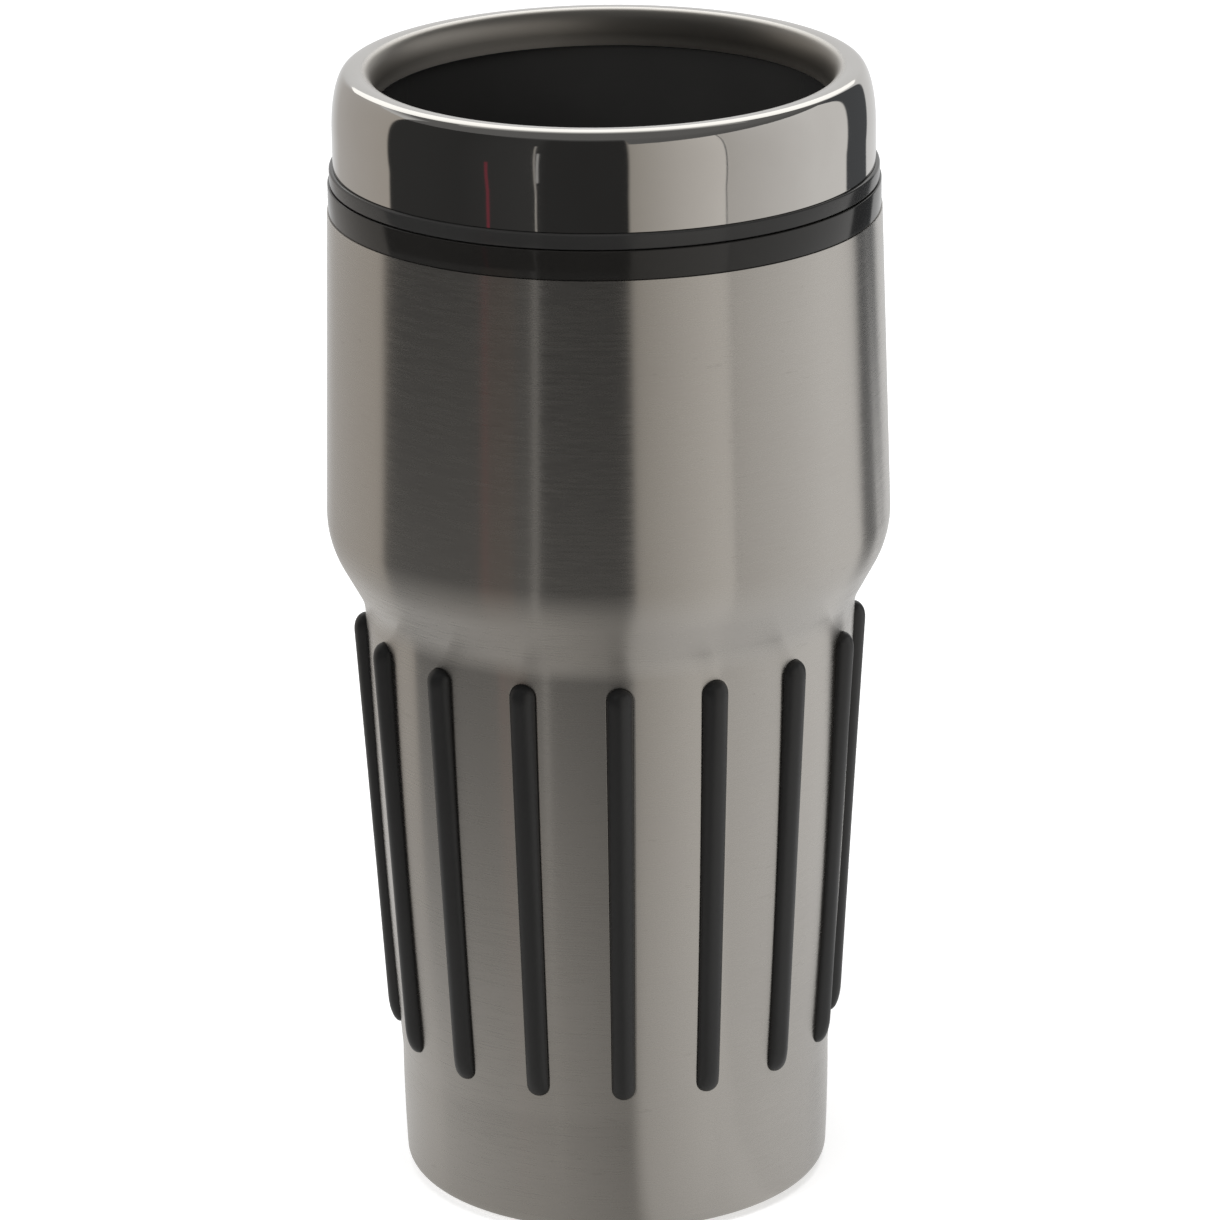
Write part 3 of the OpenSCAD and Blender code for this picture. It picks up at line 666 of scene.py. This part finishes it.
def disc(radius):
    """Outline function of a circle, grown by a distance."""
    a = np.linspace(0, 2 * pi, 64, endpoint=False)
    return lambda grow: (radius + grow) * np.stack([np.cos(a), np.sin(a)], 1)


def stacked(outline, grow, heights):
    """One ring of an outline for each height, grown by its own distance."""
    lines = [outline(g) for g in grow]
    return np.stack([np.column_stack([line, np.full(len(line), z)])
                     for line, z in zip(lines, heights)])


def slab(outline, z0, z1, low_round, high_round, steps=6):
    """Closed plate over an outline between two heights, with its lower and upper edges rounded
    by quarter circles. Its faces are rings that shrink towards their middle."""
    t = np.linspace(0, pi / 2, steps)
    grow = np.concatenate([low_round * (np.sin(t) - 1), high_round * (np.cos(t) - 1)])
    z = np.concatenate([z0 + low_round * (1 - np.cos(t)), z1 - high_round * (1 - np.sin(t))])
    rings = stacked(outline, grow, z)
    share = np.linspace(1, 0, 8)[1:, None, None]
    middle_low, middle_high = rings[0].mean(0), rings[-1].mean(0)
    low_cap = middle_low + share[::-1] * (rings[0] - middle_low)
    high_cap = middle_high + share * (rings[-1] - middle_high)
    return quads(np.concatenate([low_cap, rings, high_cap]))


def holed_plate(outer, holes, z):
    """Flat face at a height between an outline and the holes in it. A triangle is left out where
    the angle that a hole's outline sweeps round its middle adds up to a full turn."""
    rings = [outer, *holes]
    ends = np.cumsum([len(ring) for ring in rings])
    edges = np.concatenate([np.stack([np.arange(end - len(ring), end),
                                      np.roll(np.arange(end - len(ring), end), -1)], 1)
                            for ring, end in zip(rings, ends)])
    made = delaunay_2d_cdt([Vector(p) for p in np.concatenate(rings).tolist()],
                           edges.tolist(), [], 1, 1e-6)
    spots, faces = np.array([tuple(p) for p in made[0]]), np.array(made[2])
    middle = spots[faces].mean(1)[:, None]
    keep = np.ones(len(faces), bool)
    for hole in holes:
        a, b = hole - middle, np.roll(hole, -1, 0) - middle
        cross = a[..., 0] * b[..., 1] - a[..., 1] * b[..., 0]
        turn = np.arctan2(cross, (a * b).sum(-1)).sum(1)
        keep &= np.abs(turn) < pi
    return np.column_stack([spots, np.full(len(spots), z)]), faces[keep]


def hole_wall(outline, z0, z1, radius, steps=5):
    """Wall of a hole between two heights, rolled out to both faces by quarter circles."""
    t = np.linspace(0, pi / 2, steps)
    grow = radius * np.concatenate([1 - np.sin(t), 1 - np.cos(t)])
    z = np.concatenate([z0 + radius * (1 - np.cos(t)), z1 - radius * (1 - np.sin(t))])
    return quads(stacked(outline, grow, z))


def rail(side):
    """A rail that guides the gate: an upright with a lip over the gate's edge, from the drink
    hole's end to the gate's back, closed by two end faces."""
    x_in, x_out, x_lip = gate_half + 0.15, gate_half + 1.75, gate_half - 1.0
    sunk, high_z, lip_wall = -0.4, 3.7, 1.6
    line = filleted([(x_in, sunk, 0), (x_out, sunk, 0), (x_out, high_z, 0.35), (x_lip, high_z, 0.3),
                     (x_lip, high_z - lip_wall, 0.15), (x_in, high_z - lip_wall, 0.1)], 4)
    section = np.stack([side * line[:, 0], 0 * line[:, 0], z_floor + line[:, 1]], 1)
    points = np.stack([section + [0, y, 0] for y in (drink_y + drink_half_l, gate_back)])
    end_face = np.arange(len(line))[None]
    return [quads(points), (points[0], end_face), (points[1], end_face)]


def make_lid():
    """The lid's plastic: one line from the floor up the well, over into the ring, down the
    carrier and the flange, past the gasket's groove and back under the floor. The floor has
    the drink hole, the slot that the closure's stem slides in, and the air hole."""
    edge, rolled = 31.2, 0.3
    well_top_r, lip_r, lip_out_r, shelf_r, rim_r = 34.6, 34.8, 35.85, 37.75, 40.05
    z_well, z_carrier, z_crest, z_rim = z_top - 5.6, z_top - 3.7, z_top - 1.3, z_top - 8.8
    z_low, groove_r = z_flange - seam_closer, plug_r - 1.3
    z_groove = z_flange - 10.4
    z_groove_top = z_groove + gasket_groove
    line = filleted([
        (edge, z_floor, 0), (well_r, z_floor, 2.0), (well_top_r, z_well, 0.1),
        (lip_r, z_well, 0.0), (lip_r, z_carrier, 0.2), (lip_out_r, z_crest, 0.1),
        (plug_r, z_crest, 0.1), (plug_r, z_shelf, 0.1), (shelf_r, z_shelf, 0.1),
        (shelf_r, z_rim, 0.2), (rim_r, z_rim, 0.3), (rim_r, z_shelf, 0.0),
        (flange_r, z_shelf, 0.4), (flange_r, z_low, 0.25), (plug_r, z_low, 0.2),
        (plug_r, z_groove_top, 0.1), (groove_r, z_groove_top, 0.1), (groove_r, z_groove, 0.1),
        (plug_r, z_groove, 0.1), (plug_r, z_plug, 0.9), (skirt_in_r, z_plug, 0.6),
        (skirt_in_r, z_under, 0.4), (edge, z_under, 0)], 7)
    a = np.linspace(0, 2 * pi, AROUND_LID, endpoint=False)
    rim = edge * np.stack([np.cos(a), np.sin(a)], 1)
    slot_half, slot_back, air_half, air_y = 2.5, 14.5, 1.2, 29.4
    holes = [lambda g: stadium(drink_half_w, -drink_half_l, drink_half_l, g, True, shift=drink_y),
             lambda g: stadium(slot_half, -slot_half, slot_back, g),
             lambda g: stadium(air_half, -air_half, air_half, g, shift=air_y)]
    grids = [quads(revolved(line, AROUND_LID)),
             holed_plate(rim, [hole(rolled) for hole in holes], z_floor),
             holed_plate(rim, [hole(rolled) for hole in holes], z_under),
             *[hole_wall(hole, z_under, z_floor, rolled) for hole in holes],
             *rail(1), *rail(-1)]
    piece("lid_shell", grids, lid_plastic, "lid", ["lid_body"])


def make_gasket():
    """Silicone ring in the lid's groove, with three fins that wipe the vessel's neck."""
    z0, back, core, tip = z_flange - 10.35, plug_r - 1.25, plug_r + 0.3, 38.05
    z1, pitch = z0 + gasket_high, gasket_high / 3
    fins = [corner for i in range(3) for corner in (
        (core, z0 + (i + 0.1) * pitch, 0.1), (tip, z0 + (i + 0.45) * pitch, 0.12),
        (tip, z0 + (i + 0.62) * pitch, 0.12), (core, z0 + (i + 0.85) * pitch, 0.2))]
    revolve_piece("wiping_gasket", [(back, z0, 0.1), (core, z0, 0.1), *fins, (core, z1, 0.1),
                                    (back, z1, 0.1)], silicone, "lid", ["lid_gasket"],
                  steps=5)


def knob_ridge(y, z, half_length=4.5, radius=0.6):
    """A finger ridge: a round bar across the knob, x along it, with half balls for its ends."""
    u = np.linspace(0, pi, 15)[:, None]
    v = np.linspace(0, 2 * pi, 16, endpoint=False)
    ends = np.sign(np.cos(u)) * (np.abs(np.cos(u)) > 1e-9)
    x = ends * (half_length - radius) + radius * np.cos(u)
    return quads(np.stack([x + 0 * v, y + radius * np.sin(u) * np.cos(v),
                           z + radius * np.sin(u) * np.sin(v)], -1))


def make_slide():
    """The sliding closure: gate with its stem, knob with finger ridges, seal and keeper."""
    z_gate, z_post, z_knob_top = z_knob - gate_wall, z_knob + 3.0, z_knob + knob_high
    gate = slab(lambda g: stadium(gate_half, gate_front, gate_back, g, steps=40),
                z_gate, z_knob, 0.15, 0.45)
    stem_r = 2.4
    stem = slab(disc(stem_r), z_stem, z_post, 0.1, 0.2)
    piece("slide_plate", [gate, stem], gate_plastic, "slider", ["slide_gate"])

    width, length, corner = 15, 17, 3
    block = slab(lambda g: round_corners(width, length, corner, g), z_knob, z_knob_top, 0.2, 0.85)
    ridges = [knob_ridge(i * length / 6 - length / 2, z_knob_top) for i in range(1, 6)]
    piece("slide_thumb_knob", [block, *ridges], knob_plastic, "slider", ["slide_knob"])

    margin = 1.5
    half, reach = drink_half_w + margin, drink_half_l + margin
    seal = slab(lambda g: stadium(half, -reach, reach, g, True, shift=drink_y),
                z_seal, z_seal_top, 0.25, 0.1)
    piece("slide_face_seal", [seal], silicone, "slider", ["slide_seal"])

    keeper_w, keeper_l, keeper_corner = 13, 22, 2
    keeper = slab(lambda g: round_corners(keeper_w, keeper_l, keeper_corner, g),
                  z_keeper, z_stem, 0.3, 0.15)
    piece("slide_back_plate", [keeper], gate_plastic, "slider", ["slide_keeper"])
    softened("slide_screw", "slide_cross_screw", screw_steel, "slider",
             width=0.12, segments=2)


# ---------------------------------------------------------------- vessel and base

def make_vessel():
    """The inner vessel: bottom, bend, taper, shoulder and neck, turned out over the collar."""
    wall, bend, space, turned_out = 0.5, 8.0, 4.45, 0.3
    z0, rim_r = low("liner").z, high("liner").y
    z_a = z0 + bend * (1 - sin(grip_tilt))
    z_b = z_waist + 6.0
    middle = np.array([cone_r(z_a) - space - bend * cos(grip_tilt), z0 + bend])
    side = bent_line(cone_r(z_b) - space, z_b, neck_r, grip_tilt, shoulder_tilt, 0.0)
    round_below, round_above = np.linspace(-pi / 2, -grip_tilt, 24), np.linspace(0, pi / 2, 6)
    lip = np.array([neck_r + turned_out, z_seat - turned_out])

    def line(depth):
        """The wall's line at a depth from its outer face, from the axis to the rim."""
        floor = np.stack([np.linspace(0, middle[0], 12)[:-1], np.full(11, z0 + depth)], 1)
        corner = middle + (bend - depth) * np.stack([np.cos(round_below), np.sin(round_below)], 1)
        over = lip + (turned_out + depth) * np.stack([-np.cos(round_above), np.sin(round_above)], 1)
        return np.concatenate([floor, corner, side - [depth, 0], over, [[rim_r, z_seat + depth]]])

    grid = quads(revolved(np.concatenate([line(0.0), line(wall)[::-1]]), AROUND_LID))
    piece("drinking_vessel", [grid], vessel_steel, "mug", ["liner"], sharp=50)


def make_pad():
    """The rubber pad under the base: five round grooves, and a rounded edge."""
    r, top, depth, count = high("base_pad").y, high("base_pad").z, 0.4, 5
    pitch = r / (count + 1)
    grooves = [corner for i in range(count, 0, -1) for corner in (
        ((i + 1 / 6) * pitch, 0, 0.12), ((i + 1 / 6) * pitch, depth, 0.1),
        ((i - 1 / 6) * pitch, depth, 0.1), ((i - 1 / 6) * pitch, 0, 0.12))]
    line = filleted([(0, top, 0), (r, top, 0.1), (r, 0, 0.3), *grooves, (0, 0, 0)], 4)
    grid = quads(revolved(line, AROUND_HIDDEN))
    piece("foot_pad", [grid], pad_rubber, "mug", ["base_pad"])


def make_ring_seal():
    """The round seal between the vessel's neck and the collar."""
    t = np.linspace(0, 2 * pi, 24, endpoint=False)
    z = (low("collar_seal").z + high("collar_seal").z) / 2
    centre_r, cord_r = neck_r + 0.78, 0.75
    line = [centre_r, z] + cord_r * np.stack([np.cos(t), np.sin(t)], 1)
    grid = quads(revolved(line, AROUND_HIDDEN), wrap_rows=True)
    piece("neck_seal", [grid], seal_rubber, "mug", ["collar_seal"])


make_shell()
make_sleeve()
make_collar()
make_trim()
make_lid()
make_gasket()
make_slide()
make_vessel()
make_pad()
make_ring_seal()

# Pieces that stay hidden inside keep their own form and take a finish
for node, finish in {"base_cap": base_steel, "liner_puck": puck_rubber, "insulation": foam}.items():
    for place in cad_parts[node].material_slots:
        place.material = finish.material


# ---------------------------------------------------------------- studio

def stage_piece(name, points, faces, finish, glossy_only=False):
    """A piece of the studio, from points in millimetres."""
    mesh = bpy.data.meshes.new(name)
    mesh.from_pydata((points * MM).tolist(), [], faces.tolist())
    mesh.materials.append(finish.material)
    thing = bpy.data.objects.new(name, mesh)
    bpy.context.scene.collection.objects.link(thing)
    if glossy_only:
        thing.visible_camera = thing.visible_diffuse = thing.visible_shadow = False
        thing.visible_transmission = False


def see_white(f, plain, white):
    """White where the camera, or a mirror or glass, looks straight at it; plain elsewhere."""
    straight, mirrored, through = f.node("ShaderNodeLightPath", out=(
        "Is Camera Ray", "Is Glossy Ray", "Is Transmission Ray"))
    return f.node("ShaderNodeMixShader", {}, {
        0: straight.larger(mirrored).larger(through), 1: plain, 2: white})


def background(f, value, strength):
    """The world's light, in grey."""
    return f.node("ShaderNodeBackground", {}, {"Color": (*grey(value), 1), "Strength": strength})


world = bpy.data.worlds.new("studio")
bpy.context.scene.world = world
air = Finish("studio", world)
air.node("ShaderNodeOutputWorld", {}, {
    "Surface": see_white(air, background(air, 1.0, 0.55), background(air, 1.0, 1.0))})

floor = Finish("studio_floor")
paint, glow = [floor.node(kind, {}, {"Color": (*grey(value), 1)}) for kind, value in (
    ("ShaderNodeBsdfDiffuse", 0.8), ("ShaderNodeEmission", 0.5))]
floor.node("ShaderNodeOutputMaterial", {}, {
    "Surface": see_white(floor, paint, floor.node("ShaderNodeAddShader", {}, {0: paint, 1: glow}))})
span = 6000.0
drop = -0.02                                     # just under the pad's rings
square = np.array([[-1, -1, 0], [1, -1, 0], [1, 1, 0], [-1, 1, 0]])
stage_piece("floor", square * span + [0, 0, drop], np.array([[0, 1, 2, 3]]), floor)

# Cards stand round the mug as a tent that shows only in its steel and gloss. Their colours
# follow the azimuth in degrees, 0 towards the camera, and heights are in metres.
CAMERA_TURN = -1.93
card = Finish("studio_cards")
here_x, here_y, height = card.split(card.place())
azimuth = here_x.math("ARCTAN2", here_x, here_y * -1.0) / (2 * pi) + 0.5
distance = (here_x * here_x + here_y * here_y) ** 0.5


def turned(degrees):
    """An azimuth in degrees as a share of the full turn."""
    return ((degrees + CAMERA_TURN + 180) / 360) % 1.0


def shades(*stops):
    """Colour by azimuth, from stops of (degrees, grey or colour)."""
    return card.node("ShaderNodeValToRGB", {"stops": [
        (turned(degrees), value if isinstance(value, tuple) else grey(value))
        for degrees, value in stops]}, {0: azimuth})


def between(value, start, end):
    """0 at the start and 1 at the end, in a straight line."""
    return (value - start) / (end - start)


def with_line(below, colour, degrees, half_width, low_z, high_z, wander=0.0):
    """A wall with a thin upright line on it, between two heights: it is half_width degrees to
    each side, and leans by wander degrees for each metre."""
    away = (azimuth * 360 + height * wander - turned(degrees) * 360).unsigned()
    inside = (half_width - away).above(0) * height.above(low_z) * (high_z - height).above(0)
    return card.tint(inside, below, colour)


# The walls: pale at the left, dark from there to the middle, pale again to the right, then a
# dark post. Fine upright lines stand on them.
wall = shades(
    (-178, 0.82), (-160, 0.74), (-146, (0.54, 0.52, 0.50)), (-98.3, (0.50, 0.465, 0.425)),
    (-97.9, grey(0.042)), (-60, grey(0.038)), (-46, grey(0.044)), (-28, grey(0.050)),
    (-24, grey(0.034)), (9.2, grey(0.032)), (9.6, grey(0.39, 0.06)), (31, grey(0.58, 0.04)),
    (49.8, grey(0.74, 0.03)), (50.2, grey(0.56, 0.03)), (68, grey(0.66, 0.02)),
    (95, grey(0.82, 0.01)), (118.8, grey(0.84, 0.01)), (119.2, grey(0.09, -0.05)),
    (141.8, grey(0.09, -0.05)), (142.2, 0.78), (178, 0.80))
wall = with_line(wall, (0.20, 0.045, 0.06), -48.0, 0.65, 0.0, 0.17)
wall = with_line(wall, grey(0.42, 0.04), -27.2, 0.35, 0.0, 0.34, 3.0)
wall = with_line(wall, grey(0.46), -26.5, 0.45, 0.10, 0.26)
wall = with_line(wall, grey(0.2), 50.0, 0.35, 0.0, 0.6)

# Far out on the table, below this height, the walls' colours go on in softer greys. The body's
# steel mirrors the table, because it is seen from above, and the ring mirrors the walls.
TABLE_LEVEL = 0.005
for colour, degrees, half_width in [
        (grey(0.165, 0.02), -74.5, 23.4), ((0.23, 0.188, 0.166), -43.5, 7.5),
        (grey(0.172, 0.02), -32.0, 5.0), (grey(0.09), -9.0, 18.2), (grey(0.44, 0.02), -28.6, 1.2),
        (grey(0.26), 127.5, 8.3), (grey(0.85), 138.5, 4.0)]:
    wall = with_line(wall, colour, degrees, half_width, -1.0, TABLE_LEVEL)

# The walls end at a height that follows the azimuth. Above them is a strip that is dim but for
# its pale part at the left and the back.
strip = shades((-178, 0.68), (-98.3, 0.64), (-97.9, 0.16), (8.8, 0.16), (9.2, 0.14),
               (141.8, 0.12), (142.2, 0.6), (178, 0.66))
wall_top = card.node("ShaderNodeValToRGB", {"stops": [
    (0.0, grey(0.55)), (turned(-98), grey(0.40)), (turned(-30), grey(0.56)),
    (turned(9), grey(0.56)), (turned(10), grey(0.39)), (turned(119), grey(0.46)),
    (1.0, grey(0.5))]}, {0: azimuth})
room = card.tint(height.above(wall_top), wall, strip)

# The table round the mug, with softer steps near the foot than further out
table = shades(
    (-178, 1.05), (-150, 0.95), (-122, grey(0.62, 0.01)), (-98, grey(0.43, 0.01)),
    (-60, grey(0.36, 0.03)), (-25, grey(0.41, 0.03)), (6, grey(0.30, 0.03)),
    (11, grey(0.55, 0.02)), (48, grey(0.78, 0.01)), (52, grey(0.68, 0.01)), (100, 0.76),
    (140, 0.9), (178, 1.05))
near_foot = shades(
    (-178, 0.85), (-98, grey(0.66, 0.01)), (-60, grey(0.52, 0.02)), (-25, grey(0.42, 0.03)),
    (6, grey(0.30, 0.03)), (11, grey(0.52, 0.02)), (48, grey(0.70, 0.01)),
    (52, grey(0.64, 0.01)), (100, 0.70), (178, 0.85))
table = card.tint(between(distance, 0.07, 0.13), near_foot, table)
room = card.tint(between(distance, 0.14, 0.26), table, room)

# Overhead: a dim ceiling from half a metre up, pale towards the back, and a bright window in
# the back wall that fades out upwards
room = card.tint(between(height, 0.48, 0.62), room, grey(0.16))
room = card.tint(height.above(0.88) * between(here_y, 0.1, 0.6), room, (0.9, 0.9, 0.88))
window = here_y.above(0.38) * height.above(0.335) * between(height, 0.95, 0.55)
room = card.tint(window, room, (1.6, 1.6, 1.57))
card.node("ShaderNodeOutputMaterial", {}, {
    "Surface": card.node("ShaderNodeEmission", {}, {"Color": room, "Strength": 1.0})})
hole_r, tent_r, tent_low, tent_high, peak_r = 20.0, 450.0, 0.6, 900.0, 1.0
tent = revolved([(hole_r, tent_low), (tent_r, tent_low), (tent_r, tent_high),
                 (peak_r, tent_high)], 180)
stage_piece("cards", *quads(tent), card, glossy_only=True)


def softbox(name, place, size, power):
    """A round lamp that faces the mug and doesn't show in its gloss."""
    light = bpy.data.lights.new(name, "AREA")
    light.shape, light.size, light.energy = "DISK", size, power
    lamp = bpy.data.objects.new(name, light)
    lamp.location, lamp.visible_glossy = place, False
    lamp.rotation_euler = (Vector((0, 0, 0.09)) - Vector(place)).to_track_quat("-Z", "Y").to_euler()
    bpy.context.scene.collection.objects.link(lamp)


softbox("overhead", (0.1, -0.15, 1.5), 0.9, 9)
softbox("side_fill", (-1.1, -0.9, 1.0), 0.8, 9)

camera = bpy.data.cameras.new("camera")
camera.lens, camera.sensor_width = 190.15, 36.0
turn, rise, roll, far = radians(CAMERA_TURN), radians(19.11), radians(0.74), 0.990
aim = Vector((0, 0, 0.0903))
back = Vector((sin(turn) * cos(rise), -cos(turn) * cos(rise), sin(rise)))
eye = bpy.data.objects.new("camera", camera)
bpy.context.scene.collection.objects.link(eye)
eye.matrix_world = (Matrix.Translation(aim + back * far)
                    @ back.to_track_quat("Z", "Y").to_matrix().to_4x4()
                    @ Matrix.Rotation(-roll, 4, "Z"))
bpy.context.scene.camera = eye
bpy.context.scene.view_settings.view_transform = "Standard"
